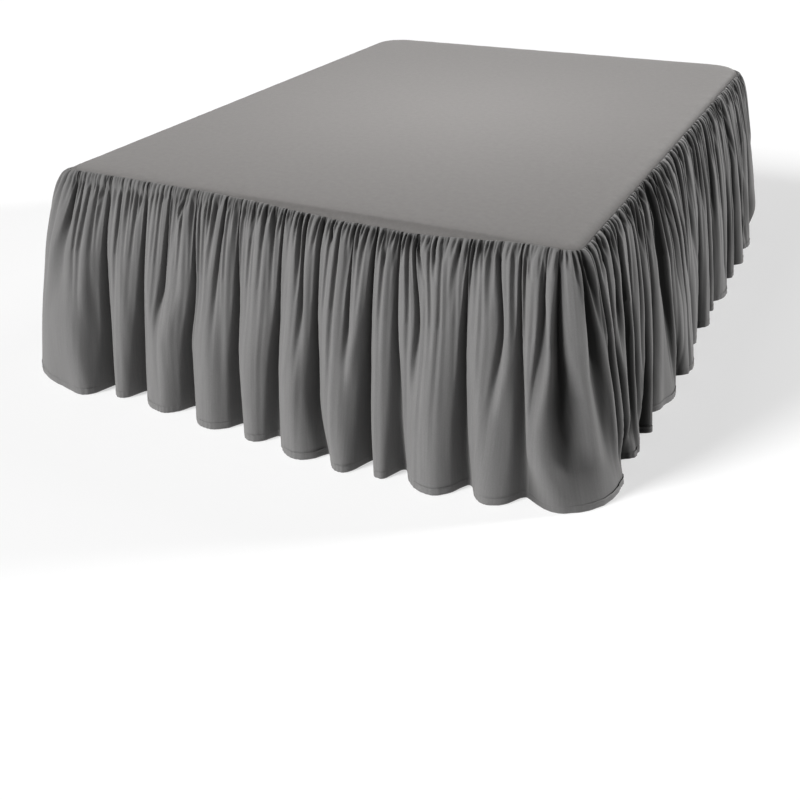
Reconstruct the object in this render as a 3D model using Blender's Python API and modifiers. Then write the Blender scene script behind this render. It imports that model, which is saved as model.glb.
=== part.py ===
"""A gathered bed skirt on a plain bed base.

The skirt is a smooth deck panel with a gathered ruffle sewn round its foot and both long sides.
The ruffle wraps the two rounded head corners and stops there, so the head end stays open.
Under the deck stand a plain box spring and a plain steel frame on six legs.

Metres, +Z up, the foot of the bed towards -Y, the origin on the floor under the middle of the bed.
"""
import math

import bmesh
import bpy
from mathutils import Vector

# ---- bed and deck -------------------------------------------------------------------------
BED_WIDTH = 1.52
BED_LENGTH = 2.03
DECK_HEIGHT = 0.64
# The middle of the bed lies a little off the middle of the whole object, because the folds
# stand out further at the foot and at the left.
BED_CENTRE = (0.007, 0.013, 0.0)
FOOT_CORNER_RADIUS = 0.06
HEAD_CORNER_RADIUS = 0.12
CORNER_STEPS = 6

# ---- cloth --------------------------------------------------------------------------------
CLOTH_THICKNESS = 0.002
HEM_HEIGHT = 0.006
RIM_INSET = 0.035
RIM_RADIUS = 0.030
RIM_ANGLE_DEG = 52.0
RIM_STEPS = 3
SEAM_ANGLE_DEG = 58.0
SEAM_GAP = 0.0024

# ---- the ruffle's hang --------------------------------------------------------------------
# drop: share of the way from seam to hem; crest, valley: share of their stand-out at the hem
HANG_ROWS = (
    (0.05, 0.24, 0.16),
    (0.30, 0.52, 0.42),
    (0.65, 0.80, 0.76),
    (1.00, 1.00, 1.00),
)
FOLD_SEGMENTS = 8
CORNER_FOLD_SEGMENTS = 14
CORNER_FOLD_RUN = 0.185
LOBE_POWER = 1.5

# The side strips meet the foot strip in the first valley behind each foot corner.
JOINT_LEFT = 0.105
JOINT_RIGHT = 0.111
JOINT_VALLEY = 0.070

# Each row is one fold, from valley to valley.
# run: length of seam line above it; crest: stand-out of its crest at the hem; peak: where along
# the run its crest lies; valley: stand-out of the valley that closes it; lean: how far its hem
# swings along the bed.
FOOT_FOLDS = (
    (0.184, 0.190, 0.72, 0.100, 0.000),
    (0.098, 0.131, 0.48, 0.050, -0.008),
    (0.107, 0.108, 0.50, 0.045, 0.004),
    (0.187, 0.130, 0.46, 0.050, 0.010),
    (0.181, 0.140, 0.52, 0.072, -0.006),
    (0.125, 0.142, 0.56, 0.095, 0.008),
    (0.170, 0.170, 0.60, 0.110, 0.006),
    (0.120, 0.170, 0.55, 0.088, -0.010),
    (0.115, 0.146, 0.40, 0.086, 0.000),
    (0.174, 0.160, 0.50, 0.074, 0.006),
    (0.135, 0.126, 0.58, 0.070, -0.004),
    (0.202, 0.150, 0.36, 0.070, 0.000),
)
RIGHT_FOLDS = (
    (0.179, 0.133, 0.45, 0.088, 0.004),
    (0.105, 0.141, 0.40, 0.090, -0.006),
    (0.085, 0.133, 0.50, 0.104, 0.004),
    (0.185, 0.152, 0.35, 0.082, 0.000),
    (0.205, 0.160, 0.40, 0.086, 0.008),
    (0.135, 0.135, 0.45, 0.080, -0.006),
    (0.140, 0.143, 0.42, 0.090, 0.006),
    (0.080, 0.130, 0.50, 0.098, 0.000),
    (0.227, 0.151, 0.40, 0.084, -0.008),
    (0.126, 0.143, 0.45, 0.088, 0.004),
    (0.180, 0.153, 0.42, 0.086, 0.006),
    (0.120, 0.141, 0.50, 0.092, 0.000),
    (0.190, 0.200, 0.50, 0.110, 0.000),
)
LEFT_FOLDS = (
    (0.150, 0.142, 0.50, 0.084, 0.000),
    (0.175, 0.155, 0.44, 0.078, 0.006),
    (0.110, 0.136, 0.52, 0.092, -0.004),
    (0.190, 0.158, 0.56, 0.080, 0.008),
    (0.135, 0.140, 0.46, 0.088, 0.000),
    (0.100, 0.134, 0.50, 0.096, 0.004),
    (0.200, 0.160, 0.42, 0.082, -0.006),
    (0.145, 0.146, 0.55, 0.076, 0.006),
    (0.165, 0.150, 0.48, 0.090, 0.000),
    (0.115, 0.138, 0.50, 0.086, -0.006),
    (0.185, 0.156, 0.58, 0.080, 0.004),
    (0.125, 0.142, 0.50, 0.094, 0.000),
    (0.190, 0.200, 0.50, 0.110, 0.000),
)

# ---- bed base -----------------------------------------------------------------------------
SPRING_HEIGHT = 0.230
SPRING_INSET = 0.012
SPRING_EDGE_RADIUS = 0.025
SPRING_EDGE_STEPS = 3
REST_GAP = 0.0005
RAIL_WIDTH = 0.030
RAIL_DEPTH = 0.040
RAIL_LENGTH = 1.90
RAIL_X = 0.690
RAIL_EDGE_RADIUS = 0.003
CROSS_RAIL_Y = (-0.880, 0.0, 0.880)
LEG_RADIUS = 0.019
LEG_SIDES = 20
GLIDE_RADIUS = 0.027
GLIDE_HEIGHT = 0.018

SKIRT_COLOR = (0.200, 0.192, 0.184, 1.0)
TICKING_COLOR = (0.780, 0.760, 0.715, 1.0)
STEEL_COLOR = (0.060, 0.062, 0.066, 1.0)
GLIDE_COLOR = (0.035, 0.035, 0.036, 1.0)


# ---- scene helpers ------------------------------------------------------------------------
def clear_scene():
    """Take away every object that the file opened with."""
    for thing in list(bpy.data.objects):
        bpy.data.objects.remove(thing, do_unlink=True)


def make_collection(name):
    """Make a collection for the object's parts."""
    collection = bpy.data.collections.new(name)
    bpy.context.scene.collection.children.link(collection)
    return collection


def make_material(name, color, roughness, metallic):
    """Make one Principled BSDF material."""
    material = bpy.data.materials.new(name)
    material.use_nodes = True
    shader = material.node_tree.nodes["Principled BSDF"]
    shader.inputs["Base Color"].default_value = color
    shader.inputs["Roughness"].default_value = roughness
    shader.inputs["Metallic"].default_value = metallic
    material.diffuse_color = color
    return material


def make_bed_centre(collection):
    """Make the empty that every part hangs from, in the middle of the bed on the floor."""
    empty = bpy.data.objects.new("bed_centre", None)
    empty.location = BED_CENTRE
    collection.objects.link(empty)
    return empty


def place(mesh_builder, name, collection, material, location=(0.0, 0.0, 0.0)):
    """Turn a bmesh into a named object with its material, placed from the bed's centre."""
    bmesh.ops.recalc_face_normals(mesh_builder, faces=mesh_builder.faces)
    mesh = bpy.data.meshes.new(name)
    mesh_builder.to_mesh(mesh)
    mesh_builder.free()
    mesh.materials.append(material)
    thing = bpy.data.objects.new(name, mesh)
    thing.location = location
    thing.parent = collection.objects["bed_centre"]
    collection.objects.link(thing)
    return thing


def thicken(thing):
    """Give a cloth sheet its thickness, half on each side."""
    solidify = thing.modifiers.new("cloth_thickness", "SOLIDIFY")
    solidify.thickness = CLOTH_THICKNESS
    solidify.offset = 0.0
    solidify.use_even_offset = True
    solidify.use_rim = True
    return solidify


# ---- the bed's outline --------------------------------------------------------------------
SIDE_X = BED_WIDTH / 2.0
END_Y = BED_LENGTH / 2.0
FOOT_STRAIGHT = BED_WIDTH - 2.0 * FOOT_CORNER_RADIUS
FOOT_ARC = FOOT_CORNER_RADIUS * math.pi / 2.0
HEAD_ARC = HEAD_CORNER_RADIUS * math.pi / 2.0
SIDE_STRAIGHT = BED_LENGTH - FOOT_CORNER_RADIUS - HEAD_CORNER_RADIUS
HALF_FOOT = FOOT_STRAIGHT / 2.0


def edge_point(along):
    """Point and outward direction on the deck's edge.

    along is measured from the middle of the foot, positive towards the right side, and runs
    round the foot corner, up the long side and round the head corner.
    """
    side = 1.0 if along >= 0.0 else -1.0
    rest = abs(along) - HALF_FOOT
    if rest <= 0.0:
        return Vector((along, -END_Y, 0.0)), Vector((0.0, -1.0, 0.0))
    if rest <= FOOT_ARC:
        turn = rest / FOOT_CORNER_RADIUS
        outward = Vector((side * math.sin(turn), -math.cos(turn), 0.0))
        centre = Vector((side * HALF_FOOT, -END_Y + FOOT_CORNER_RADIUS, 0.0))
        return centre + outward * FOOT_CORNER_RADIUS, outward
    rest -= FOOT_ARC
    start_y = -END_Y + FOOT_CORNER_RADIUS
    if rest <= SIDE_STRAIGHT:
        return Vector((side * SIDE_X, start_y + rest, 0.0)), Vector((side, 0.0, 0.0))
    turn = min(rest - SIDE_STRAIGHT, HEAD_ARC) / HEAD_CORNER_RADIUS
    outward = Vector((side * math.cos(turn), math.sin(turn), 0.0))
    centre = Vector((side * (SIDE_X - HEAD_CORNER_RADIUS), END_Y - HEAD_CORNER_RADIUS, 0.0))
    return centre + outward * HEAD_CORNER_RADIUS, outward


def outline(inset):
    """The bed's rounded outline, drawn in by an inset, anticlockwise from the foot's left."""
    corners = (
        (-1.0, -1.0, FOOT_CORNER_RADIUS, 180.0),
        (1.0, -1.0, FOOT_CORNER_RADIUS, 270.0),
        (1.0, 1.0, HEAD_CORNER_RADIUS, 0.0),
        (-1.0, 1.0, HEAD_CORNER_RADIUS, 90.0),
    )
    points = []
    for side_x, side_y, radius, first_deg in corners:
        centre_x = side_x * (SIDE_X - radius)
        centre_y = side_y * (END_Y - radius)
        for step in range(CORNER_STEPS + 1):
            turn = math.radians(first_deg + 90.0 * step / CORNER_STEPS)
            reach = radius - inset
            points.append((centre_x + reach * math.cos(turn), centre_y + reach * math.sin(turn)))
    return points


# ---- deck panel ---------------------------------------------------------------------------
def add_ring(builder, inset, height):
    """Add one ring of vertices round the bed."""
    return [builder.verts.new((x, y, height)) for x, y in outline(inset)]


def bridge(builder, inner, outer):
    """Join two rings of vertices with a band of faces."""
    count = len(inner)
    for index in range(count):
        after = (index + 1) % count
        builder.faces.new((inner[index], outer[index], outer[after], inner[after]))


def build_deck(collection, material):
    """The flat top panel, with its edge turned down over the bed base."""
    builder = bmesh.new()
    middle_radius = RIM_RADIUS - CLOTH_THICKNESS / 2.0
    centre_height = DECK_HEIGHT - RIM_RADIUS
    ring = add_ring(builder, RIM_INSET, centre_height + middle_radius)
    builder.faces.new(ring)
    for step in range(1, RIM_STEPS + 1):
        angle = math.radians(RIM_ANGLE_DEG * step / RIM_STEPS)
        inset = RIM_INSET - middle_radius * math.sin(angle)
        outer = add_ring(builder, inset, centre_height + middle_radius * math.cos(angle))
        bridge(builder, ring, outer)
        ring = outer
    thicken(place(builder, "deck_panel", collection, material))


# ---- ruffle -------------------------------------------------------------------------------
def lobe_wave(share, peak):
    """Height of a fold's rounded lobe, 0 in its valleys and 1 at its crest."""
    if share <= 0.0 or share >= 1.0:
        return 0.0
    bend = math.log(0.5) / math.log(peak)
    return math.sin(math.pi * share ** bend) ** LOBE_POWER


def fold_columns(start, folds, first_valley):
    """The columns of a ruffle strip: (along, valley stand-out, crest stand-out, wave, lean)."""
    columns = [(start, first_valley, folds[0][1], 0.0, 0.0)]
    along = start
    valley_before = first_valley
    for run, crest, peak, valley_after, lean in folds:
        segments = CORNER_FOLD_SEGMENTS if run >= CORNER_FOLD_RUN else FOLD_SEGMENTS
        for step in range(1, segments + 1):
            share = step / segments
            valley = valley_before + (valley_after - valley_before) * share
            swing = lean * math.sin(math.pi * share)
            columns.append((along + run * share, valley, crest, lobe_wave(share, peak), swing))
        along += run
        valley_before = valley_after
    return columns


def ruffle_point(column, drop, crest_share, valley_share):
    """One point of the ruffle's middle surface."""
    along, valley, crest, wave, lean = column
    seam_angle = math.radians(SEAM_ANGLE_DEG)
    middle_radius = RIM_RADIUS - CLOTH_THICKNESS / 2.0
    seam_out = middle_radius * math.sin(seam_angle) - RIM_INSET
    seam_height = DECK_HEIGHT - RIM_RADIUS + middle_radius * math.cos(seam_angle)
    low = valley * valley_share
    high = crest * crest_share
    stand_out = seam_out + low + (high - low) * wave
    base, outward = edge_point(along)
    tangent = Vector((-outward.y, outward.x, 0.0))
    place_on_plan = base + outward * stand_out + tangent * (lean * drop)
    return place_on_plan + Vector((0.0, 0.0, seam_height + (HEM_HEIGHT - seam_height) * drop))


def build_ruffle(name, start, folds, first_valley, collection, material, mirrored=False):
    """One strip of the ruffle, lofted from seam to hem through its columns."""
    builder = bmesh.new()
    rows = ((0.0, 0.0, 0.0),) + HANG_ROWS
    grid = []
    for column in fold_columns(start, folds, first_valley):
        points = [ruffle_point(column, *row) for row in rows]
        if mirrored:
            points = [Vector((-point.x, point.y, point.z)) for point in points]
        grid.append([builder.verts.new(point) for point in points])
    for left, right in zip(grid, grid[1:]):
        for row in range(len(rows) - 1):
            builder.faces.new((left[row], left[row + 1], right[row + 1], right[row]))
    thicken(place(builder, name, collection, material))


def fit_folds(folds, length):
    """Stretch a table of folds evenly so that its runs add up to a length."""
    scale = length / sum(fold[0] for fold in folds)
    return [(run * scale, *shape) for run, *shape in folds]


def build_ruffles(collection, material):
    """The foot strip round both foot corners, and a strip up each long side."""
    corner_end = HALF_FOOT + FOOT_ARC
    left_joint = corner_end + JOINT_LEFT
    right_joint = corner_end + JOINT_RIGHT
    strip_end = corner_end + SIDE_STRAIGHT + HEAD_ARC
    foot = fit_folds(FOOT_FOLDS, left_joint + right_joint - SEAM_GAP)
    build_ruffle("ruffle_foot", -left_joint + SEAM_GAP / 2.0, foot, JOINT_VALLEY, collection, material)
    right = fit_folds(RIGHT_FOLDS, strip_end - right_joint - SEAM_GAP / 2.0)
    build_ruffle("ruffle_right", right_joint + SEAM_GAP / 2.0, right, JOINT_VALLEY, collection, material)
    left = fit_folds(LEFT_FOLDS, strip_end - left_joint - SEAM_GAP / 2.0)
    build_ruffle("ruffle_left", left_joint + SEAM_GAP / 2.0, left, JOINT_VALLEY, collection, material, True)


# ---- bed base -----------------------------------------------------------------------------
SPRING_TOP = DECK_HEIGHT - CLOTH_THICKNESS - REST_GAP
SPRING_BOTTOM = SPRING_TOP - SPRING_HEIGHT
RAIL_TOP = SPRING_BOTTOM - REST_GAP
RAIL_BOTTOM = RAIL_TOP - RAIL_DEPTH
LEG_TOP = RAIL_BOTTOM - REST_GAP


def build_box_spring(collection, material):
    """The box spring, an upholstered slab with rounded corners and edges."""
    builder = bmesh.new()
    profile = [(SPRING_EDGE_RADIUS, 0.0)]
    for step in range(1, SPRING_EDGE_STEPS + 1):
        turn = math.radians(90.0 * step / SPRING_EDGE_STEPS)
        inset = SPRING_EDGE_RADIUS * (1.0 - math.sin(turn))
        profile.append((inset, SPRING_EDGE_RADIUS * (1.0 - math.cos(turn))))
    lower = [(SPRING_INSET + inset, SPRING_BOTTOM + rise) for inset, rise in profile]
    upper = [(SPRING_INSET + inset, SPRING_TOP - rise) for inset, rise in reversed(profile)]
    rings = [add_ring(builder, inset, height) for inset, height in lower + upper]
    builder.faces.new(rings[0])
    builder.faces.new(rings[-1])
    for inner, outer in zip(rings, rings[1:]):
        bridge(builder, inner, outer)
    place(builder, "box_spring", collection, material)


def build_bar(name, size, location, collection, material):
    """A straight steel bar with softened edges."""
    builder = bmesh.new()
    bmesh.ops.create_cube(builder, size=1.0)
    bmesh.ops.scale(builder, vec=size, verts=builder.verts)
    bmesh.ops.bevel(builder, geom=builder.edges[:], offset=RAIL_EDGE_RADIUS, segments=1, affect="EDGES")
    place(builder, name, collection, material, location)


def build_post(name, radius, height, location, collection, material):
    """An upright round post standing on its location."""
    builder = bmesh.new()
    bmesh.ops.create_cone(
        builder,
        cap_ends=True,
        segments=LEG_SIDES,
        radius1=radius,
        radius2=radius,
        depth=height,
    )
    bmesh.ops.translate(builder, vec=(0.0, 0.0, height / 2.0), verts=builder.verts)
    place(builder, name, collection, material, location)


def build_frame(collection, steel, plastic):
    """Two side rails on three legs each, with three cross rails between them."""
    rail_height = RAIL_TOP - RAIL_DEPTH / 2.0
    cross_length = 2.0 * (RAIL_X - RAIL_WIDTH / 2.0 - REST_GAP)
    ends = ("foot", "middle", "head")
    for side, side_name in ((-1.0, "left"), (1.0, "right")):
        rail_size = (RAIL_WIDTH, RAIL_LENGTH, RAIL_DEPTH)
        rail_place = (side * RAIL_X, 0.0, rail_height)
        build_bar("side_rail_" + side_name, rail_size, rail_place, collection, steel)
        for y, end_name in zip(CROSS_RAIL_Y, ends):
            spot = end_name + "_" + side_name
            leg_base = GLIDE_HEIGHT + REST_GAP
            leg_place = (side * RAIL_X, y, leg_base)
            build_post("leg_" + spot, LEG_RADIUS, LEG_TOP - leg_base, leg_place, collection, steel)
            glide_place = (side * RAIL_X, y, 0.0)
            build_post("glide_" + spot, GLIDE_RADIUS, GLIDE_HEIGHT, glide_place, collection, plastic)
    for y, end_name in zip(CROSS_RAIL_Y, ends):
        cross_size = (cross_length, RAIL_WIDTH, RAIL_DEPTH)
        build_bar("cross_rail_" + end_name, cross_size, (0.0, y, rail_height), collection, steel)


def main():
    clear_scene()
    collection = make_collection("bed_skirt")
    make_bed_centre(collection)
    cloth = make_material("brushed_cloth", SKIRT_COLOR, 0.85, 0.0)
    ticking = make_material("ticking", TICKING_COLOR, 0.90, 0.0)
    steel = make_material("coated_steel", STEEL_COLOR, 0.45, 0.0)
    plastic = make_material("glide_plastic", GLIDE_COLOR, 0.50, 0.0)
    build_deck(collection, cloth)
    build_ruffles(collection, cloth)
    build_box_spring(collection, ticking)
    build_frame(collection, steel, plastic)


main()
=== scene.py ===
"""Looks for the gathered bed skirt on its plain bed base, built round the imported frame."""
import math

import bpy
import numpy as np
from mathutils import Matrix, Vector


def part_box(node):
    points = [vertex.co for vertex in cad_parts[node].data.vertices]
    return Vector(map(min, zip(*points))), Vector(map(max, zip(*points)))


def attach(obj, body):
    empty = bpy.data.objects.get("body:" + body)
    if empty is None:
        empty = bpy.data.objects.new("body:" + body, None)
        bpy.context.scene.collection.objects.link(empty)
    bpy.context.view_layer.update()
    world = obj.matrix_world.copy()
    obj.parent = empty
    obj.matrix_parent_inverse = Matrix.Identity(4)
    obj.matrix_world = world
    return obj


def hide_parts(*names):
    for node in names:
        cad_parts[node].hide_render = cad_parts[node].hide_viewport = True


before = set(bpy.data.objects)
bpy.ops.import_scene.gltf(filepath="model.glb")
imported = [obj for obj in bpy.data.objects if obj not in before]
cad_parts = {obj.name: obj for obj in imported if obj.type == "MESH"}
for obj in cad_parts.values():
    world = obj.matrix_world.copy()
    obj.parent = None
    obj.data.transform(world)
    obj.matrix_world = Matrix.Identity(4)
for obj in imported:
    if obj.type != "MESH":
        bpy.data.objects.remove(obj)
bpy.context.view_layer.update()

# ---- sizes taken from the frame -----------------------------------------------------------
DECK_LOW, DECK_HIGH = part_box("deck_panel")
BED_CENTRE = ((DECK_LOW[0] + DECK_HIGH[0]) / 2.0, (DECK_LOW[1] + DECK_HIGH[1]) / 2.0)
DECK_HEIGHT = DECK_HIGH[2]

# The deck's outline, as part.py has it, but with its rim rolled further over. Its nominal edge lies
# a little outside the turned rim.
RIM_INSET = 0.035
RIM_RADIUS = 0.030
RIM_END = math.radians(82.0)
FOOT_CORNER_RADIUS = 0.06
HEAD_CORNER_RADIUS = 0.12
BED_WIDTH = 1.52
BED_LENGTH = 2.03
SIDE_X = BED_WIDTH / 2.0
END_Y = BED_LENGTH / 2.0
HALF_FOOT = SIDE_X - FOOT_CORNER_RADIUS
FOOT_ARC = FOOT_CORNER_RADIUS * math.pi / 2.0
HEAD_ARC = HEAD_CORNER_RADIUS * math.pi / 2.0
SIDE_STRAIGHT = BED_LENGTH - FOOT_CORNER_RADIUS - HEAD_CORNER_RADIUS
CORNER_END = HALF_FOOT + FOOT_ARC
STRIP_END = CORNER_END + SIDE_STRAIGHT + HEAD_ARC
# A place y along a side is this much further along the edge from the middle of the foot.
SIDE_OFFSET = CORNER_END + END_Y - FOOT_CORNER_RADIUS

HEM_HEIGHT = 0.003

# ---- creases ------------------------------------------------------------------------------
# The foot's and the right side's creases and crests were typed in from places that scratch scripts worked
# out from the photograph, and the foot's creases were later shifted by one. The left's are made up, which
# is an open failure.
# Four heights down the ruffle, as shares of the way from seam to hem.
HEIGHTS = (0.04, 0.36, 0.69, 1.0)
# Each row is one crease: where it runs at the four heights, and how deep it is there.
# Places on the foot are measured from its middle, to the right.
FOOT_CREASES = (
    (-0.685, -0.718, -0.726, -0.722, 0.033, 0.025, 0.016, 0.036),
    (-0.570, -0.603, -0.616, -0.619, 0.040, 0.062, 0.075, 0.081),
    (-0.440, -0.470, -0.496, -0.512, 0.043, 0.056, 0.070, 0.074),
    (-0.362, -0.383, -0.415, -0.410, 0.037, 0.034, 0.006, 0.000),
    (-0.275, -0.281, -0.318, -0.324, 0.043, 0.052, 0.072, 0.090),
    (-0.183, -0.202, -0.215, -0.220, 0.030, 0.016, 0.000, 0.000),
    (-0.135, -0.141, -0.152, -0.143, 0.045, 0.054, 0.066, 0.074),
    (0.000, -0.006, -0.022, -0.018, 0.045, 0.056, 0.068, 0.061),
    (0.066, 0.072, 0.066, 0.066, 0.026, 0.018, 0.000, 0.000),
    (0.113, 0.112, 0.112, 0.152, 0.045, 0.063, 0.075, 0.064),
    (0.204, 0.208, 0.210, 0.210, 0.037, 0.029, 0.004, 0.000),
    (0.260, 0.261, 0.262, 0.274, 0.048, 0.067, 0.082, 0.083),
    (0.326, 0.336, 0.352, 0.366, 0.040, 0.038, 0.045, 0.068),
    (0.366, 0.398, 0.400, 0.407, 0.027, 0.022, 0.000, 0.000),
    (0.504, 0.510, 0.522, 0.546, 0.048, 0.067, 0.075, 0.076),
    (0.576, 0.606, 0.600, 0.587, 0.037, 0.029, 0.004, 0.000),
    (0.627, 0.650, 0.673, 0.695, 0.040, 0.045, 0.057, 0.070),
    (0.686, 0.702, 0.700, 0.702, 0.043, 0.020, 0.000, 0.000),
    (0.716, 0.724, 0.736, 0.745, 0.048, 0.054, 0.039, 0.006),
    (0.766, 0.772, 0.782, 0.790, 0.040, 0.034, 0.024, 0.000),
    (0.822, 0.824, 0.832, 0.840, 0.044, 0.036, 0.026, 0.000),
)
FOOT_CRESTS = (
    (-0.830, 0.190),
    (-0.780, 0.205),
    (-0.738, 0.190),
    (-0.655, 0.133),
    (-0.540, 0.112),
    (-0.390, 0.130),
    (-0.214, 0.142),
    (-0.058, 0.144),
    (0.105, 0.172),
    (0.235, 0.170),
    (0.325, 0.150),
    (0.490, 0.160),
    (0.665, 0.132),
    (0.740, 0.142),
    (0.820, 0.138),
    (0.900, 0.140),
)
# Short creases just under the foot's seam: where each starts and ends, how far down it
# reaches as a share of the ruffle, and its depth.
FOOT_SHORT_CREASES = (
    (-0.612, -0.636, 0.13, 0.020),
    (-0.482, -0.496, 0.17, 0.022),
    (-0.322, -0.346, 0.17, 0.022),
    (-0.240, -0.236, 0.22, 0.018),
    (-0.100, -0.094, 0.12, 0.016),
    (-0.063, -0.066, 0.08, 0.018),
    (-0.040, -0.034, 0.15, 0.022),
    (0.052, 0.060, 0.34, 0.018),
    (0.140, 0.152, 0.13, 0.018),
    (0.218, 0.222, 0.20, 0.014),
    (0.286, 0.296, 0.14, 0.020),
    (0.400, 0.424, 0.18, 0.022),
    (0.440, 0.446, 0.16, 0.016),
    (0.540, 0.556, 0.10, 0.018),
    (0.660, 0.678, 0.12, 0.018),
)
# Places on the sides are measured from the middle of the bed's length, towards its head.
RIGHT_CREASES = (
    (-0.868, -0.878, -0.866, -0.850, 0.045, 0.045, 0.055, 0.070),
    (-0.822, -0.838, -0.840, -0.840, 0.050, 0.012, 0.000, 0.000),
    (-0.765, -0.780, -0.800, -0.800, 0.052, 0.064, 0.045, 0.000),
    (-0.690, -0.716, -0.740, -0.735, 0.045, 0.042, 0.026, 0.000),
    (-0.600, -0.607, -0.645, -0.700, 0.056, 0.050, 0.062, 0.072),
    (-0.520, -0.522, -0.540, -0.590, 0.030, 0.038, 0.036, 0.048),
    (-0.452, -0.450, -0.440, -0.440, 0.034, 0.026, 0.014, 0.000),
    (-0.396, -0.380, -0.372, -0.345, 0.030, 0.022, 0.026, 0.064),
    (-0.356, -0.315, -0.310, -0.310, 0.050, 0.016, 0.000, 0.000),
    (-0.268, -0.215, -0.200, -0.200, 0.042, 0.014, 0.000, 0.000),
    (-0.162, -0.150, -0.125, -0.140, 0.052, 0.038, 0.044, 0.062),
    (-0.088, -0.060, -0.030, -0.030, 0.030, 0.016, 0.000, 0.000),
    (0.034, 0.036, 0.022, 0.000, 0.054, 0.040, 0.044, 0.056),
    (0.134, 0.155, 0.160, 0.148, 0.052, 0.040, 0.040, 0.050),
    (0.196, 0.222, 0.240, 0.238, 0.050, 0.040, 0.026, 0.028),
    (0.328, 0.345, 0.360, 0.360, 0.040, 0.022, 0.014, 0.000),
    (0.424, 0.460, 0.472, 0.438, 0.050, 0.048, 0.050, 0.064),
    (0.492, 0.560, 0.575, 0.580, 0.032, 0.028, 0.034, 0.054),
    (0.592, 0.640, 0.690, 0.738, 0.052, 0.052, 0.054, 0.066),
    (0.690, 0.730, 0.770, 0.800, 0.026, 0.030, 0.022, 0.000),
    (0.740, 0.762, 0.795, 0.820, 0.050, 0.018, 0.000, 0.000),
    (0.806, 0.845, 0.865, 0.925, 0.046, 0.036, 0.038, 0.058),
    (0.900, 0.930, 0.960, 0.985, 0.040, 0.034, 0.022, 0.010),
    (0.985, 1.000, 1.010, 1.010, 0.035, 0.024, 0.014, 0.000),
    (1.083, 1.083, 1.083, 1.083, 0.004, 0.004, 0.004, 0.004),
)
RIGHT_CRESTS = (
    (-0.850, 0.140),
    (-0.775, 0.138),
    (-0.650, 0.145),
    (-0.510, 0.134),
    (-0.445, 0.153),
    (-0.250, 0.164),
    (-0.075, 0.136),
    (0.070, 0.146),
    (0.192, 0.136),
    (0.340, 0.150),
    (0.505, 0.144),
    (0.645, 0.153),
    (0.800, 0.142),
    (0.900, 0.148),
    (0.980, 0.178),
    (1.084, 0.150),
)
LEFT_CREASES = (
    (-0.842, -0.850, -0.856, -0.850, 0.034, 0.040, 0.048, 0.056),
    (-0.720, -0.722, -0.715, -0.705, 0.026, 0.020, 0.010, 0.000),
    (-0.640, -0.630, -0.610, -0.590, 0.036, 0.054, 0.062, 0.070),
    (-0.555, -0.545, -0.530, -0.520, 0.028, 0.018, 0.006, 0.000),
    (-0.470, -0.480, -0.482, -0.478, 0.034, 0.044, 0.048, 0.052),
    (-0.395, -0.385, -0.380, -0.370, 0.024, 0.022, 0.008, 0.000),
    (-0.310, -0.300, -0.292, -0.285, 0.038, 0.056, 0.064, 0.072),
    (-0.225, -0.200, -0.170, -0.148, 0.034, 0.044, 0.052, 0.058),
    (-0.120, -0.100, -0.080, -0.046, 0.030, 0.034, 0.038, 0.044),
    (-0.030, -0.020, -0.010, 0.000, 0.026, 0.012, 0.000, 0.000),
    (0.080, 0.110, 0.132, 0.156, 0.038, 0.058, 0.068, 0.074),
    (0.165, 0.190, 0.210, 0.230, 0.026, 0.016, 0.000, 0.000),
    (0.245, 0.268, 0.290, 0.303, 0.034, 0.046, 0.058, 0.068),
    (0.340, 0.360, 0.370, 0.380, 0.028, 0.020, 0.006, 0.000),
    (0.430, 0.450, 0.462, 0.470, 0.036, 0.048, 0.056, 0.062),
    (0.535, 0.560, 0.575, 0.586, 0.034, 0.042, 0.048, 0.052),
    (0.625, 0.650, 0.660, 0.670, 0.024, 0.016, 0.004, 0.000),
    (0.720, 0.745, 0.762, 0.774, 0.036, 0.052, 0.064, 0.074),
    (0.845, 0.865, 0.885, 0.900, 0.034, 0.044, 0.048, 0.050),
    (0.965, 0.980, 0.990, 1.000, 0.028, 0.020, 0.010, 0.000),
    (1.083, 1.083, 1.083, 1.083, 0.004, 0.004, 0.004, 0.004),
)
LEFT_CRESTS = (
    (-0.850, 0.165),
    (-0.690, 0.155),
    (-0.535, 0.138),
    (-0.380, 0.158),
    (-0.215, 0.142),
    (-0.100, 0.136),
    (0.055, 0.158),
    (0.230, 0.146),
    (0.385, 0.150),
    (0.530, 0.140),
    (0.690, 0.156),
    (0.840, 0.142),
    (0.980, 0.190),
    (1.084, 0.160),
)

# Share of a crest's stand-out that the ruffle has reached, down its length.
FLARE = (
    (0.0, 0.0),
    (0.004, 0.050),
    (0.010, 0.105),
    (0.018, 0.152),
    (0.035, 0.205),
    (0.06, 0.255),
    (0.11, 0.318),
    (0.18, 0.388),
    (0.26, 0.463),
    (0.35, 0.545),
    (0.45, 0.620),
    (0.55, 0.695),
    (0.65, 0.770),
    (0.75, 0.838),
    (0.88, 0.925),
    (1.0, 1.0),
)
# How far the deck's edge rolls over before the seam, beyond its usual roll, along the foot.
SEAM_SAG = (
    (-0.80, 0.0),
    (-0.68, -0.016),
    (-0.30, -0.015),
    (-0.05, -0.006),
    (0.12, 0.002),
    (0.36, 0.005),
    (0.55, -0.008),
    (0.68, -0.016),
    (0.80, 0.0),
)
SEAM_ROLL = 0.0290

# The hem's turn: inset from the ruffle's face, and rise above its bottom edge.
HEM_TURN = ((0.0006, -0.0010), (0.0018, -0.0014), (0.0028, -0.0006), (0.0030, 0.0080), (0.0022, 0.0190))
# How far the hem's stitches pull it into little puckers.
HEM_PUCKER = 0.0005
COLUMN_STEP = 0.00145
# A crease this deep gets the full painted shade, on the foot and on the sides, and a narrow slit this deep
# gets it too.
FOOT_FULL_SHADE_DEPTH = 0.082
SIDE_FULL_SHADE_DEPTH = 0.084
SLIT_FULL_SHADE_DEPTH = 0.010
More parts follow.
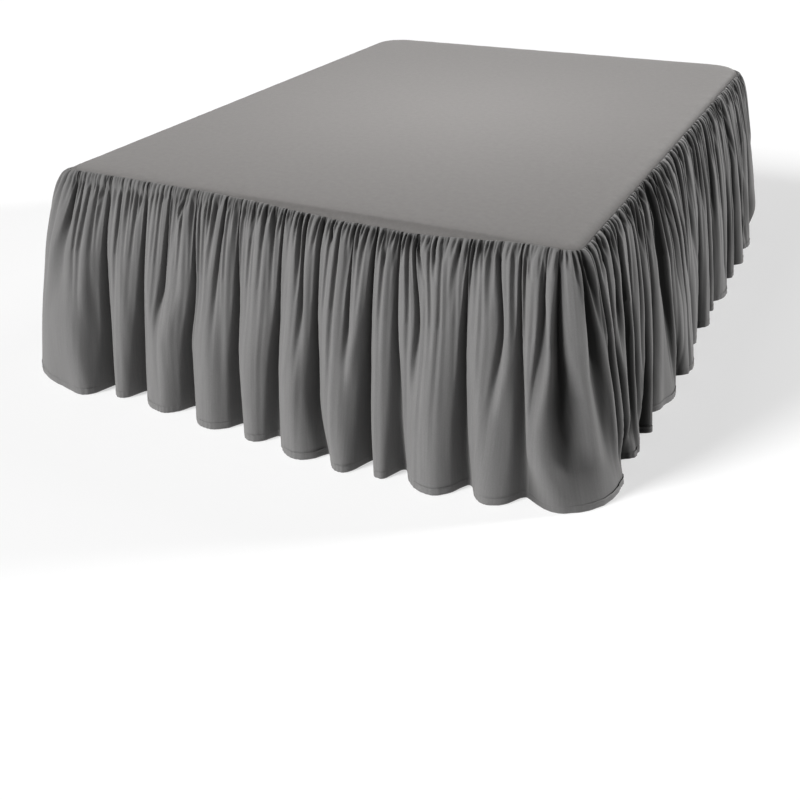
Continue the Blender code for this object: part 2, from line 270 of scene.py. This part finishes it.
# The side strips meet the foot strip in the crease nearest this far behind each foot corner.
LEFT_JOIN = 0.105
RIGHT_JOIN = 0.077
# Half-widths of the short creases where they start and where they end.
SHORT_CREASE_WIDTHS = (0.0040, 0.0085)
# The lesser folds change family this far short of the foot corner's end.
FAMILY_CHANGE = 0.02
# A lesser fold fades out at its reach divided by this.
REACH_SHARE = 0.62
LESSER_FOLD_SEED = 7


# ---- number helpers -----------------------------------------------------------------------
def smooth_table(xs, ys, at):
    """Smooth, monotone-limited interpolation of a table at many places."""
    xs = np.asarray(xs, float)
    ys = np.asarray(ys, float)
    steps = np.diff(xs)
    slopes = np.diff(ys) / steps
    tangents = np.zeros_like(ys)
    inner = slopes[:-1] * slopes[1:] > 0.0
    harmonic = 2.0 * slopes[:-1] * slopes[1:] / np.where(inner, slopes[:-1] + slopes[1:], 1.0)
    tangents[1:-1] = np.where(inner, harmonic, 0.0)
    tangents[0] = slopes[0]
    tangents[-1] = slopes[-1]
    at = np.clip(at, xs[0], xs[-1])
    index = np.clip(np.searchsorted(xs, at) - 1, 0, len(xs) - 2)
    width = steps[index]
    share = (at - xs[index]) / width
    square = share * share
    cube = square * share
    return (
        (2.0 * cube - 3.0 * square + 1.0) * ys[index]
        + (cube - 2.0 * square + share) * width * tangents[index]
        + (3.0 * square - 2.0 * cube) * ys[index + 1]
        + (cube - square) * width * tangents[index + 1]
    )


def rows_table(table, at):
    """Look a two-column table up smoothly."""
    return smooth_table([row[0] for row in table], [row[1] for row in table], at)


def soft_noise(x, y, scale_x, scale_y, seed, octaves=3):
    """Smooth repeatable noise of two coordinates, about -1 to 1."""
    rng = np.random.default_rng(seed)
    total = np.zeros(np.broadcast(x, y).shape)
    for octave in range(octaves):
        strength = 0.5 ** octave
        for _ in range(5):
            turn = rng.uniform(0.0, 2.0 * math.pi)
            kx = math.cos(turn) * 2.0 ** octave / scale_x
            ky = math.sin(turn) * 2.0 ** octave / scale_y
            total = total + strength * np.sin(2.0 * math.pi * (x * kx + y * ky) + rng.uniform(0.0, 6.28))
    return total / 4.0


def dip(x, left, right, sharp):
    """A valley's profile: 1 at its bottom, 0 beyond its left and right half-widths."""
    reach = np.abs(x) / np.where(x < 0.0, left, right)
    rest = np.clip(1.0 - reach, 0.0, 1.0)
    return rest ** sharp * (1.0 + sharp * np.minimum(reach, 1.0))


# ---- the bed's edge -----------------------------------------------------------------------
def edge_frame(along):
    """Place, outward direction and tangent of the deck's nominal edge, at many distances along it."""
    side = np.where(along >= 0.0, 1.0, -1.0)
    distance = np.abs(along)
    foot_turn = np.clip((distance - HALF_FOOT) / FOOT_CORNER_RADIUS, 0.0, math.pi / 2.0)
    run = np.clip(distance - CORNER_END, 0.0, SIDE_STRAIGHT)
    head_turn = np.clip((distance - CORNER_END - SIDE_STRAIGHT) / HEAD_CORNER_RADIUS, 0.0, math.pi / 2.0)
    turn = foot_turn + head_turn
    out_x = side * np.sin(turn)
    out_y = -np.cos(turn)
    on_foot = np.minimum(distance, HALF_FOOT)
    x = np.where(head_turn > 0.0, SIDE_X - HEAD_CORNER_RADIUS, on_foot) * side
    radius = np.where(head_turn > 0.0, HEAD_CORNER_RADIUS, np.where(foot_turn > 0.0, FOOT_CORNER_RADIUS, 0.0))
    y = np.where(foot_turn > 0.0, -END_Y + FOOT_CORNER_RADIUS + run, -END_Y)
    x = x + out_x * radius + BED_CENTRE[0]
    y = y + out_y * radius + BED_CENTRE[1]
    return x, y, out_x, out_y


def rim_place(rolled):
    """How far outside the nominal edge cloth lies, and its height, rolled this far over the rim."""
    angle = np.minimum(rolled / RIM_RADIUS, RIM_END)
    beyond = np.maximum(rolled - RIM_RADIUS * RIM_END, 0.0)
    out = RIM_RADIUS * np.sin(angle) - RIM_INSET + beyond * math.cos(RIM_END)
    height = DECK_HEIGHT - RIM_RADIUS + RIM_RADIUS * np.cos(angle) - beyond * math.sin(RIM_END)
    return out, height


def rim_out(height):
    """How far out the covered rim reaches at a height."""
    rise = np.clip(height - DECK_HEIGHT + RIM_RADIUS, RIM_RADIUS * math.cos(RIM_END), RIM_RADIUS)
    return np.sqrt(RIM_RADIUS ** 2 - rise ** 2) - RIM_INSET


def seam_roll(along):
    """How far over the rim the deck's cloth rolls before the seam."""
    sag = np.where(np.abs(along) < 0.8, rows_table(SEAM_SAG, along), 0.0)
    return SEAM_ROLL + sag + 0.0012 * soft_noise(along, 0.0 * along, 0.16, 1.0, 5)


def side_share(along):
    """0 along the foot, 1 along the sides, changing over round the corners."""
    return np.clip((np.abs(along) - 0.67) / 0.16, 0.0, 1.0)


# ---- ruffle -------------------------------------------------------------------------------
# Families of lesser folds drawn between the creases, on the foot and on the sides. Each row: pitch,
# depth from, depth to, reach from, reach to, half-width at its start, half-width at its end,
# starting height.
LESSER_FOLDS = (
    (0.0122, 0.0075, 0.0160, 0.035, 0.120, 0.0030, 0.0066, 0.000),
    (0.0270, 0.0085, 0.0170, 0.160, 0.680, 0.0036, 0.0120, 0.000),
    (0.0190, 0.0015, 0.0045, 0.500, 1.300, 0.0050, 0.0110, 0.015),
)
SIDE_LESSER_FOLDS = (
    (0.0150, 0.0130, 0.0260, 0.040, 0.220, 0.0044, 0.0100, 0.000),
    (0.0460, 0.0160, 0.0340, 0.200, 0.900, 0.0085, 0.0180, 0.000),
    (0.0190, 0.0015, 0.0045, 0.500, 1.300, 0.0050, 0.0110, 0.015),
)


def side_rows(table, places, mirrored):
    """A side's table with its places measured along the edge from the middle of the foot."""
    sign = -1.0 if mirrored else 1.0
    return [
        tuple(sign * (value + SIDE_OFFSET) for value in row[:places]) + tuple(row[places:])
        for row in table
    ]


class Folds:
    """Every crease of the ruffle, looked up at many places along it and heights down it."""

    def __init__(self):
        creases = side_rows(LEFT_CREASES, 4, True) + list(FOOT_CREASES) + side_rows(RIGHT_CREASES, 4, False)
        crests = side_rows(LEFT_CRESTS, 1, True) + list(FOOT_CRESTS) + side_rows(RIGHT_CRESTS, 1, False)
        rows = np.array(sorted(creases, key=lambda row: row[1]), float)
        self.places = rows[:, :4]
        self.depths = rows[:, 4:]
        self.crests = sorted(crests)
        self.keys = self.places[:, 1]
        self.joint_left = int(np.argmin(np.abs(self.keys + CORNER_END + LEFT_JOIN)))
        self.joint_right = int(np.argmin(np.abs(self.keys - CORNER_END - RIGHT_JOIN)))
        self.lefts, self.rights = self.half_widths()
        rng = np.random.default_rng(LESSER_FOLD_SEED)
        drawn = [fold for family in LESSER_FOLDS for fold in self.draw(family, rng)]
        self.lesser = [fold for fold in drawn if abs(fold[0]) < CORNER_END - FAMILY_CHANGE]
        drawn = [fold for family in SIDE_LESSER_FOLDS for fold in self.draw(family, rng)]
        self.lesser += [fold for fold in drawn if abs(fold[0]) >= CORNER_END - FAMILY_CHANGE]
        for start, end, reach, depth in FOOT_SHORT_CREASES:
            self.lesser.append((start, end - start, depth, reach * REACH_SHARE, *SHORT_CREASE_WIDTHS, 0.0))

    def half_widths(self):
        """Half the way to the next crease that still counts, on each side and at each height."""
        count = len(self.places)
        lefts = np.zeros((count, 4))
        rights = np.zeros((count, 4))
        for level in range(4):
            places = self.places[:, level]
            depths = self.depths[:, level]
            for index in range(count):
                strong = depths >= max(0.35 * depths[index], 0.004)
                before = [places[other] for other in range(index) if strong[other]]
                after = [places[other] for other in range(index + 1, count) if strong[other]]
                lefts[index, level] = 0.5 * (places[index] - (before[-1] if before else places[index] - 0.16))
                rights[index, level] = 0.5 * ((after[0] if after else places[index] + 0.16) - places[index])
        return np.clip(lefts, 0.012, 0.085), np.clip(rights, 0.012, 0.085)

    def draw(self, family, rng):
        """One family of lesser folds: (place, lean, depth, reach, first width, last width, start)."""
        pitch, shallow, deep, short, long, narrow, broad, first = family
        folds = []
        place = -STRIP_END
        while place < STRIP_END:
            size = rng.random()
            reach = short + (long - short) * size ** 2.0
            depth = shallow + (deep - shallow) * rng.random() ** 1.3
            lean = rng.normal(0.0, 0.25 * pitch)
            widen = rng.uniform(0.85, 1.2)
            start = first * rng.uniform(0.3, 2.0)
            folds.append((place, lean, depth, reach, narrow * widen, broad * widen, start))
            place += pitch * rng.uniform(0.62, 1.45)
        return folds

    def knots(self, down):
        """Where every crease lies at one height, kept in order."""
        places = np.array([smooth_table(HEIGHTS, row, down) for row in self.places])
        return np.maximum.accumulate(places + 2e-4 * np.arange(len(places))) - 1e-4 * len(places)

    def warp(self, keys, knots):
        """Carry a column from its key place to where it lies at one height, following the creases."""
        sources = np.concatenate(([-STRIP_END], self.keys, [STRIP_END]))
        targets = np.concatenate(([-STRIP_END], knots, [STRIP_END]))
        return np.interp(keys, sources, targets)

    def cut(self, along, down, knots):
        """How far the creases and gathers cut in at one height, and the narrow ones' part of it."""
        widths = (0.0030, 0.0044, 0.0100, 0.0220, 0.0320)
        slit_width = float(np.interp(down, (0.0, 0.10, 0.36, 0.69, 1.0), widths))
        share = float(np.interp(down, (0.0, 0.12, 0.36, 0.69, 1.0), (0.92, 0.80, 0.62, 0.48, 0.36)))
        growth = 0.50 + 0.50 * min(1.0, down / 0.008)
        cut = np.zeros_like(along)
        narrowly = np.zeros_like(along)
        for index in range(len(self.places)):
            place = knots[index]
            left = float(smooth_table(HEIGHTS, self.lefts[index], down))
            right = float(smooth_table(HEIGHTS, self.rights[index], down))
            low, high = np.searchsorted(along, (place - left, place + right))
            if low >= high:
                continue
            depth = float(smooth_table(HEIGHTS, self.depths[index], down)) * growth
            x = along[low:high] - place
            wide = slit_width * (1.0 + 1.1 * float(side_share(place)))
            slit = dip(x, min(wide, left), min(wide, right), 2.0)
            cut[low:high] += depth * (share * slit + (1.0 - share) * dip(x, left, right, 2.6))
            narrowly[low:high] += depth * share * slit
        for place, lean, depth, length, narrow, broad, first in self.lesser:
            reach = (down - first) * REACH_SHARE / length
            if reach >= 1.0 or reach < 0.0:
                continue
            width = narrow + (broad - narrow) * math.sqrt(reach)
            fade = (1.0 - reach) ** 1.1 * (growth if first == 0.0 else min(1.0, reach * 6.0))
            centre = float(self.warp(place, knots)) + lean * reach
            low, high = np.searchsorted(along, (centre - width, centre + width))
            if low >= high:
                continue
            gather = depth * fade * dip(along[low:high] - centre, width, width, 2.0)
            cut[low:high] += gather
            narrowly[low:high] += gather
        return cut, narrowly


def row_heights():
    """Shares of the way down at which the ruffle has its rows, and how many keep every column."""
    top = 0.004 * np.arange(5) / 5.0
    gathered = 0.004 + 0.176 * (np.arange(30) / 30.0) ** 1.35
    middle = 0.18 + 0.785 * np.arange(40) / 40.0
    hem = np.array((0.965, 0.9675, 0.9695, 0.9720, 0.980, 0.990, 1.0))
    return np.concatenate((top, gathered, middle, hem)), len(top) + len(gathered) + 8


def column_keys(folds, first, last):
    """Key places of a strip's columns, closer together at the creases; an odd number of them."""
    fine = np.arange(folds.keys[first], folds.keys[last], 0.0004)
    density = np.ones_like(fine)
    for key in folds.keys:
        density += 2.2 * np.exp(-(((fine - key) / 0.006) ** 2))
    total = np.cumsum(density)
    count = 2 * int(0.5 * (fine[-1] - fine[0]) / COLUMN_STEP) + 1
    keys = np.interp(np.linspace(total[0], total[-1], count), total, fine)
    keys[0] = folds.keys[first]
    keys[-1] = folds.keys[last]
    return keys


def ruffle_rows(folds, keys, seed):
    """The points of one ruffle strip, row by row; below the gathers every other column is kept."""
    downs, fine_rows = row_heights()
    rows = []
    for index, down in enumerate(downs):
        knots = folds.knots(down)
        along = folds.warp(keys if index < fine_rows else keys[::2], knots)
        seam_out, seam_height = rim_place(seam_roll(along))
        sides = side_share(along)
        flare = rows_table(FLARE, down) * (1.0 - 0.35 * math.exp(-down / 0.08))
        crest = seam_out + (rows_table(folds.crests, along) - seam_out) * flare
        cut, narrowly = folds.cut(along, down, knots)
        # On the shoulder the creases cut downwards as much as inwards.
        sink = 0.010 * (1.0 - math.exp(-down / 0.006)) * math.exp(-down / 0.045)
        height = seam_height - (seam_height - HEM_HEIGHT) * down - sink * np.tanh(cut / 0.026)
        rim = rim_out(height) + 0.001
        room = np.maximum(0.88 * (crest - rim), 1e-6)
        inward = room * np.tanh((cut / room) ** 1.5) ** (1.0 / 1.5)
        ripple = 0.0022 * soft_noise(along, 0.0 * along + down, 0.12, 0.9, seed) * min(1.0, down / 0.15)
        out = crest - inward + ripple
        out = np.maximum(out, rim)
        # Between the creases the gathers puff up from the rim as soon as they leave the seam.
        puff = 0.0055 * (1.0 - math.exp(-down / 0.0014)) * math.exp(-down / 0.06) / np.cosh(cut / 0.009)
        lean = np.minimum(seam_roll(along) / RIM_RADIUS, RIM_END)
        out = out + puff * np.sin(lean)
        height = height + puff * np.cos(lean)
        if down > 0.9705:
            out = out + 0.0002 + HEM_PUCKER * np.sin(along / 0.0021 + 3.0 * np.sin(along / 0.031))
        elif down > 0.968:
            out = out - 0.0006
        x, y, out_x, out_y = edge_frame(along)
        # Painted shade: the ruffle's colour darkens with how far each place sits inside a crease. It darkens
        # more in the right side's creases than in the rest, and also in the narrow slits just under the seam.
        shaded = np.where(along > 0.0, sides, 0.0)
        depth = FOOT_FULL_SHADE_DEPTH + (SIDE_FULL_SHADE_DEPTH - FOOT_FULL_SHADE_DEPTH) * shaded
        depth = depth * (1.0 + 2.40 * down ** 2 + 0.35 * math.exp(-down / 0.05))
        slits = np.maximum(shaded, 0.75 * math.exp(-down / 0.045))
        crease = np.clip(inward / depth + slits * narrowly / SLIT_FULL_SHADE_DEPTH, 0.0, 1.0)
        rows.append(np.stack((x + out_x * out, y + out_y * out, height, crease), axis=-1))
    return rows


def turn_hem(rows):
    """Carry the cloth round its bottom edge and back up inside, as a narrow sewn hem."""
    bottom = rows[-1]
    tangent = np.gradient(bottom[:, :2], axis=0)
    tangent /= np.linalg.norm(tangent, axis=1)[:, None]
    inward = np.stack((-tangent[:, 1], tangent[:, 0]), axis=-1)
    for inset, lift in HEM_TURN:
        row = bottom.copy()
        row[:, :2] += inward * inset
        row[:, 2] += lift
        rows.append(row)


def ruffle_mesh(name, rows):
    """A mesh object of the strip's rows, with texture coordinates in metres of cloth."""
    counts = [len(row) for row in rows]
    starts = np.concatenate(([0], np.cumsum(counts)))
    faces = []
    for index in range(len(rows) - 1):
        upper = starts[index] + np.arange(counts[index])
        lower = starts[index + 1] + np.arange(counts[index + 1])
        if counts[index] == counts[index + 1]:
            sheet = np.stack((upper[:-1], lower[:-1], lower[1:], upper[1:]), axis=-1)
        else:
            sheet = np.stack((upper[:-2:2], lower[:-1], lower[1:], upper[2::2], upper[1:-1:2]), axis=-1)
        faces.extend(sheet.tolist())
    points = np.concatenate(rows)
    mesh = bpy.data.meshes.new(name)
    mesh.from_pydata(points[:, :3].tolist(), [], faces)
    # The crease attribute carries the painted shade that the ruffle's material darkens its colour by.
    crease = mesh.attributes.new("crease", "FLOAT", "POINT")
    crease.data.foreach_set("value", points[:, 3].astype(np.float32))
    rows = [row[:, :3] for row in rows]
    hem = rows[-1 - len(HEM_TURN)]
    across = np.concatenate(([0.0], np.cumsum(np.linalg.norm(np.diff(hem, axis=0), axis=1))))
    drop = [0.0]
    for above, below in zip(rows[:-1], rows[1:]):
        step = np.linalg.norm(above[:: 1 if len(above) == len(below) else 2] - below, axis=1).mean()
        drop.append(drop[-1] + float(step))
    texture = np.concatenate([
        np.stack((np.interp(np.linspace(0, 1, count), np.linspace(0, 1, len(across)), across),
                  np.full(count, drop[-1] - deep)), axis=-1)
        for count, deep in zip(counts, drop)
    ])
    corners = np.zeros(len(mesh.loops), np.int32)
    mesh.loops.foreach_get("vertex_index", corners)
    layer = mesh.uv_layers.new(name="cloth")
    layer.data.foreach_set("uv", texture[corners].astype(np.float32).ravel())
    mesh.polygons.foreach_set("use_smooth", np.ones(len(mesh.polygons), bool))
    mesh.update()
    piece = bpy.data.objects.new(name, mesh)
    bpy.context.scene.collection.objects.link(piece)
    return piece, float(across[-1]), drop[-1]


# ---- materials ----------------------------------------------------------------------------
def new_material(name, color, roughness):
    """A material with a plain colour and roughness, its node tree and its shader."""
    material = bpy.data.materials.new(name)
    material.use_nodes = True
    shader = material.node_tree.nodes["Principled BSDF"]
    shader.inputs["Base Color"].default_value = (*color, 1.0)
    shader.inputs["Roughness"].default_value = roughness
    return material, material.node_tree, shader


def cloth_material(name, color, streaks, paints_crease_shade):
    """Brushed microfibre: matt, faintly mottled, with a fine nap brushed along the cloth's length, and with
    painted shade in the creases where asked.
    """
    material, tree, shader = new_material(name, color, 0.9)
    shader.inputs["Specular IOR Level"].default_value = 0.15
    shader.inputs["Sheen Weight"].default_value = 0.18
    shader.inputs["Sheen Roughness"].default_value = 0.5
    shader.inputs["Sheen Tint"].default_value = (0.95, 0.93, 0.91, 1.0)
    nodes, links = tree.nodes, tree.links
    place = nodes.new("ShaderNodeTexCoord")
    stretch = nodes.new("ShaderNodeMapping")
    stretch.inputs["Scale"].default_value = streaks
    links.new(place.outputs["UV"], stretch.inputs["Vector"])
    nap = nodes.new("ShaderNodeTexNoise")
    nap.inputs["Scale"].default_value = 1.0
    nap.inputs["Detail"].default_value = 4.0
    nap.inputs["Roughness"].default_value = 0.6
    links.new(stretch.outputs["Vector"], nap.inputs["Vector"])
    fibre = nodes.new("ShaderNodeTexNoise")
    fibre.inputs["Scale"].default_value = 420.0
    fibre.inputs["Detail"].default_value = 3.0
    links.new(place.outputs["Object"], fibre.inputs["Vector"])
    mixed = nodes.new("ShaderNodeMath")
    mixed.operation = "ADD"
    links.new(nap.outputs["Fac"], mixed.inputs[0])
    links.new(fibre.outputs["Fac"], mixed.inputs[1])
    ramp = nodes.new("ShaderNodeMapRange")
    ramp.inputs["From Min"].default_value = 0.6
    ramp.inputs["From Max"].default_value = 1.4
    ramp.inputs["To Min"].default_value = 0.86
    ramp.inputs["To Max"].default_value = 1.14
    links.new(mixed.outputs[0], ramp.inputs["Value"])
    tint = nodes.new("ShaderNodeVectorMath")
    tint.operation = "SCALE"
    tint.inputs[0].default_value = color
    # Painted shade: the crease attribute scales the colour from 1.04 outside the creases down to 0.08 in the
    # deepest ones.
    if paints_crease_shade:
        crease = nodes.new("ShaderNodeAttribute")
        crease.attribute_name = "crease"
        painted_crease_shade = nodes.new("ShaderNodeMapRange")
        painted_crease_shade.inputs["To Min"].default_value = 1.04
        painted_crease_shade.inputs["To Max"].default_value = 0.08
        links.new(crease.outputs["Fac"], painted_crease_shade.inputs["Value"])
        mottle_and_shade = nodes.new("ShaderNodeMath")
        mottle_and_shade.operation = "MULTIPLY"
        links.new(ramp.outputs["Result"], mottle_and_shade.inputs[0])
        links.new(painted_crease_shade.outputs["Result"], mottle_and_shade.inputs[1])
        links.new(mottle_and_shade.outputs[0], tint.inputs["Scale"])
    else:
        links.new(ramp.outputs["Result"], tint.inputs["Scale"])
    links.new(tint.outputs["Vector"], shader.inputs["Base Color"])
    bump = nodes.new("ShaderNodeBump")
    bump.inputs["Strength"].default_value = 0.35
    bump.inputs["Distance"].default_value = 0.0006
    links.new(mixed.outputs[0], bump.inputs["Height"])
    links.new(bump.outputs["Normal"], shader.inputs["Normal"])
    return material


def plain_material(name, color, roughness, scale, depth):
    """A simple procedural surface with fine grain, for the bed under the skirt."""
    material, tree, shader = new_material(name, color, roughness)
    nodes, links = tree.nodes, tree.links
    place = nodes.new("ShaderNodeTexCoord")
    grain = nodes.new("ShaderNodeTexNoise")
    grain.inputs["Scale"].default_value = scale
    grain.inputs["Detail"].default_value = 4.0
    links.new(place.outputs["Object"], grain.inputs["Vector"])
    bump = nodes.new("ShaderNodeBump")
    bump.inputs["Strength"].default_value = 0.3
    bump.inputs["Distance"].default_value = depth
    links.new(grain.outputs["Fac"], bump.inputs["Height"])
    links.new(bump.outputs["Normal"], shader.inputs["Normal"])
    return material


RUFFLE_CLOTH = cloth_material("brushed_microfibre_ruffle", (0.118, 0.1165, 0.116), (210.0, 9.0, 1.0), True)
# The deck's microfibre is the ruffle's cloth, a little warmer in tone and about 8% darker. The darkening is
# painted shade, set against the stronger light on the deck's flat top.
DECK_CLOTH = cloth_material("brushed_microfibre_deck", (0.108, 0.1030, 0.1002), (60.0, 60.0, 1.0), False)
TICKING = plain_material("woven_ticking", (0.62, 0.60, 0.56), 0.9, 700.0, 0.0004)
STEEL = plain_material("powder_coat", (0.03, 0.031, 0.033), 0.45, 900.0, 0.0002)
PLASTIC = plain_material("moulded_plastic", (0.02, 0.02, 0.021), 0.5, 500.0, 0.0001)


# ---- build --------------------------------------------------------------------------------
def build_ruffle(name, folds, first, last, seed, node):
    """One ruffle strip, from one crease to another, in place of its CAD solid."""
    keys = column_keys(folds, first, last)
    rows = ruffle_rows(folds, keys, seed)
    turn_hem(rows)
    piece, width, length = ruffle_mesh(name, rows)
    piece.data.materials.append(RUFFLE_CLOTH)
    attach(piece, "root")
    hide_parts(node)


def build_ruffles():
    """The three strips, which meet in creases behind the foot corners."""
    folds = Folds()
    left, right = folds.joint_left, folds.joint_right
    build_ruffle("left_ruffle", folds, 0, left, 23, "ruffle_left")
    build_ruffle("foot_ruffle", folds, left, right, 21, "ruffle_foot")
    build_ruffle("right_ruffle", folds, right, len(folds.keys) - 1, 22, "ruffle_right")


def build_deck():
    """The deck panel: a flat sheet whose edge rolls over to the seam all round."""
    along = np.concatenate((
        np.linspace(-STRIP_END, -CORNER_END - SIDE_STRAIGHT, 24, endpoint=False),
        np.linspace(-CORNER_END - SIDE_STRAIGHT, -CORNER_END, 150, endpoint=False),
        np.linspace(-CORNER_END, -HALF_FOOT, 16, endpoint=False),
        np.linspace(-HALF_FOOT, HALF_FOOT, 220, endpoint=False),
        np.linspace(HALF_FOOT, CORNER_END, 16, endpoint=False),
        np.linspace(CORNER_END, CORNER_END + SIDE_STRAIGHT, 150, endpoint=False),
        np.linspace(CORNER_END + SIDE_STRAIGHT, STRIP_END, 25),
    ))
    x, y, out_x, out_y = edge_frame(along)
    head_x = np.linspace(x[-1], x[0], 62)[1:-1]
    x = np.concatenate((x, head_x))
    y = np.concatenate((y, np.full(len(head_x), y[-1])))
    out_x = np.concatenate((out_x, np.zeros(len(head_x))))
    out_y = np.concatenate((out_y, np.ones(len(head_x))))
    rolled = np.concatenate((seam_roll(along), np.full(len(head_x), SEAM_ROLL)))
    rings = []
    # The seam allowance lies on the rim, under the ruffle's gathers.
    for extra in (0.034, 0.020, 0.008):
        out, height = rim_place(rolled + extra)
        angle = np.minimum((rolled + extra) / RIM_RADIUS, RIM_END)
        out = out - 0.0012 * np.sin(angle)
        rings.append(np.stack((x + out_x * out, y + out_y * out, height - 0.0012 * np.cos(angle)), axis=-1))
    for share in (1.0, 0.86, 0.72, 0.58, 0.44, 0.30, 0.16, 0.0):
        out, height = rim_place(rolled * share)
        rings.append(np.stack((x + out_x * out, y + out_y * out, height), axis=-1))
    centre = np.array((BED_CENTRE[0], BED_CENTRE[1]))
    edge = rings[-1]
    for inward in (0.985, 0.965, 0.94, 0.90, 0.84, 0.76, 0.66, 0.54, 0.40, 0.24, 0.10):
        ring = edge.copy()
        ring[:, :2] = centre + (edge[:, :2] - centre) * inward
        rings.append(ring)
    # The cloth eases down a little before it rolls over the edge, and the gathers pull on it.
    edge_ring = len(rings) - 12
    pull = soft_noise(rings[0][:, 0], rings[0][:, 1], 0.09, 0.09, 41)
    eases = (0.0, 0.0002, 0.0006, 0.0010, 0.0013, 0.0015, 0.0015, 0.0014, 0.0008, 0.0004, 0.0002, 0.0001)
    for ring, ease in enumerate(eases, edge_ring - 7):
        rings[ring][:, 2] -= ease * (1.0 + 0.25 * pull)
    points = np.array(rings)
    wave = soft_noise(points[:, :, 0], points[:, :, 1], 0.55, 0.55, 31)
    rise = np.linspace(0.0, 1.0, len(points))[:, None]
    points[:, :, 2] += 0.0005 * (1.0 + wave) * np.clip(rise * 2.0 - 0.6, 0.0, 1.0)
    rows, columns = points.shape[:2]
    index = np.arange(rows * columns).reshape(rows, columns)
    after = np.roll(index, -1, axis=1)
    quads = np.stack((index[:-1], after[:-1], after[1:], index[1:]), axis=-1).reshape(-1, 4).tolist()
    vertices = points.reshape(-1, 3).tolist()
    vertices.append([centre[0], centre[1], float(points[-1, :, 2].mean())])
    middle = len(vertices) - 1
    fans = [[int(index[-1, c]), int(after[-1, c]), middle] for c in range(columns)]
    mesh = bpy.data.meshes.new("deck_cloth")
    mesh.from_pydata(vertices, [], quads + fans)
    corners = np.zeros(len(mesh.loops), np.int32)
    mesh.loops.foreach_get("vertex_index", corners)
    layer = mesh.uv_layers.new(name="cloth")
    layer.data.foreach_set("uv", np.array(vertices)[corners, :2].astype(np.float32).ravel())
    mesh.polygons.foreach_set("use_smooth", np.ones(len(mesh.polygons), bool))
    mesh.update()
    piece = bpy.data.objects.new("deck_cloth", mesh)
    bpy.context.scene.collection.objects.link(piece)
    piece.data.materials.append(DECK_CLOTH)
    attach(piece, "root")
    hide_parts("deck_panel")


def dress_base():
    """Give the carried-over parts of the bed base their materials."""
    for name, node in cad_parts.items():
        if name == "box_spring":
            chosen = TICKING
        elif name.startswith(("leg", "side_rail", "cross_rail")):
            chosen = STEEL
        elif name.startswith("glide"):
            chosen = PLASTIC
        else:
            continue
        node.data.materials.clear()
        node.data.materials.append(chosen)


def add_floor():
    """A plain pale floor that reaches past every view."""
    bpy.ops.mesh.primitive_plane_add(size=600.0, location=(0.0, 0.0, 0.0))
    floor = bpy.context.object
    floor.name = "studio_floor"
    material, _, shader = new_material("pale_floor", (0.42, 0.42, 0.42), 0.9)
    shader.inputs["Specular IOR Level"].default_value = 0.1
    shader.inputs["Emission Color"].default_value = (1.0, 1.0, 1.0, 1.0)
    shader.inputs["Emission Strength"].default_value = 0.55
    floor.data.materials.append(material)


def add_light(name, place, target, size, power):
    """A soft rectangular light aimed at a target."""
    light = bpy.data.lights.new(name, "AREA")
    light.shape = "RECTANGLE"
    light.size = size[0]
    light.size_y = size[1]
    light.energy = power
    lamp = bpy.data.objects.new(name, light)
    lamp.location = place
    direction = Vector(target) - Vector(place)
    lamp.rotation_euler = direction.to_track_quat("-Z", "Y").to_euler()
    bpy.context.scene.collection.objects.link(lamp)


def add_sun(name, azimuth, elevation, strength, spread):
    """A broad far light; its azimuth is counted from straight in front of the foot, to the right."""
    turn = math.radians(azimuth)
    rise = math.radians(elevation)
    toward = Vector((math.sin(turn) * math.cos(rise), -math.cos(turn) * math.cos(rise), math.sin(rise)))
    light = bpy.data.lights.new(name, "SUN")
    light.energy = strength
    light.angle = math.radians(spread)
    lamp = bpy.data.objects.new(name, light)
    lamp.rotation_euler = (-toward).to_track_quat("-Z", "Y").to_euler()
    bpy.context.scene.collection.objects.link(lamp)


def add_lights():
    """A pale sky that is white at the horizon, two suns and one soft light over the deck."""
    world = bpy.data.worlds.new("studio")
    bpy.context.scene.world = world
    world.use_nodes = True
    background = world.node_tree.nodes["Background"]
    background.inputs["Color"].default_value = (1.0, 1.0, 1.0, 1.0)
    nodes, links = world.node_tree.nodes, world.node_tree.links
    place = nodes.new("ShaderNodeTexCoord")
    parts = nodes.new("ShaderNodeSeparateXYZ")
    links.new(place.outputs["Generated"], parts.inputs[0])
    sky = nodes.new("ShaderNodeMapRange")
    sky.inputs["From Min"].default_value = 0.0
    sky.inputs["From Max"].default_value = 0.24
    sky.inputs["To Min"].default_value = 1.0
    sky.inputs["To Max"].default_value = 0.09
    links.new(parts.outputs["Z"], sky.inputs["Value"])
    links.new(sky.outputs["Result"], background.inputs["Strength"])
    add_sun("key", -38.0, 27.5, 5.3, 18.0)
    add_sun("side", 127.0, 11.0, 3.9, 8.0)
    add_light("back", (0.05, 0.0, 1.55), (0.05, 0.0, 0.6), (0.6, 0.6), 8.0)
    bpy.context.scene.view_settings.view_transform = "Standard"


def add_camera():
    """The photograph's view, worked out from the deck's edges and right angles."""
    azimuth = math.radians(27.29)
    elevation = math.radians(30.82)
    roll = math.radians(-1.21)
    back = Vector((
        math.sin(azimuth) * math.cos(elevation),
        -math.cos(azimuth) * math.cos(elevation),
        math.sin(elevation),
    ))
    right = Vector((0.0, 0.0, 1.0)).cross(back).normalized()
    up = back.cross(right)
    right, up = right * math.cos(roll) + up * math.sin(roll), up * math.cos(roll) - right * math.sin(roll)
    camera = bpy.data.cameras.new("photo_view")
    camera.lens = 44.3
    camera.sensor_width = 36.0
    holder = bpy.data.objects.new("photo_view", camera)
    turn = Matrix((right, up, back)).transposed().to_4x4()
    place = Vector((1.33 + BED_CENTRE[0], -2.99 + BED_CENTRE[1], 1.48))
    holder.matrix_world = Matrix.Translation(place) @ turn
    bpy.context.scene.collection.objects.link(holder)
    bpy.context.scene.camera = holder


add_camera()
build_ruffles()
build_deck()
dress_base()
add_floor()
add_lights()
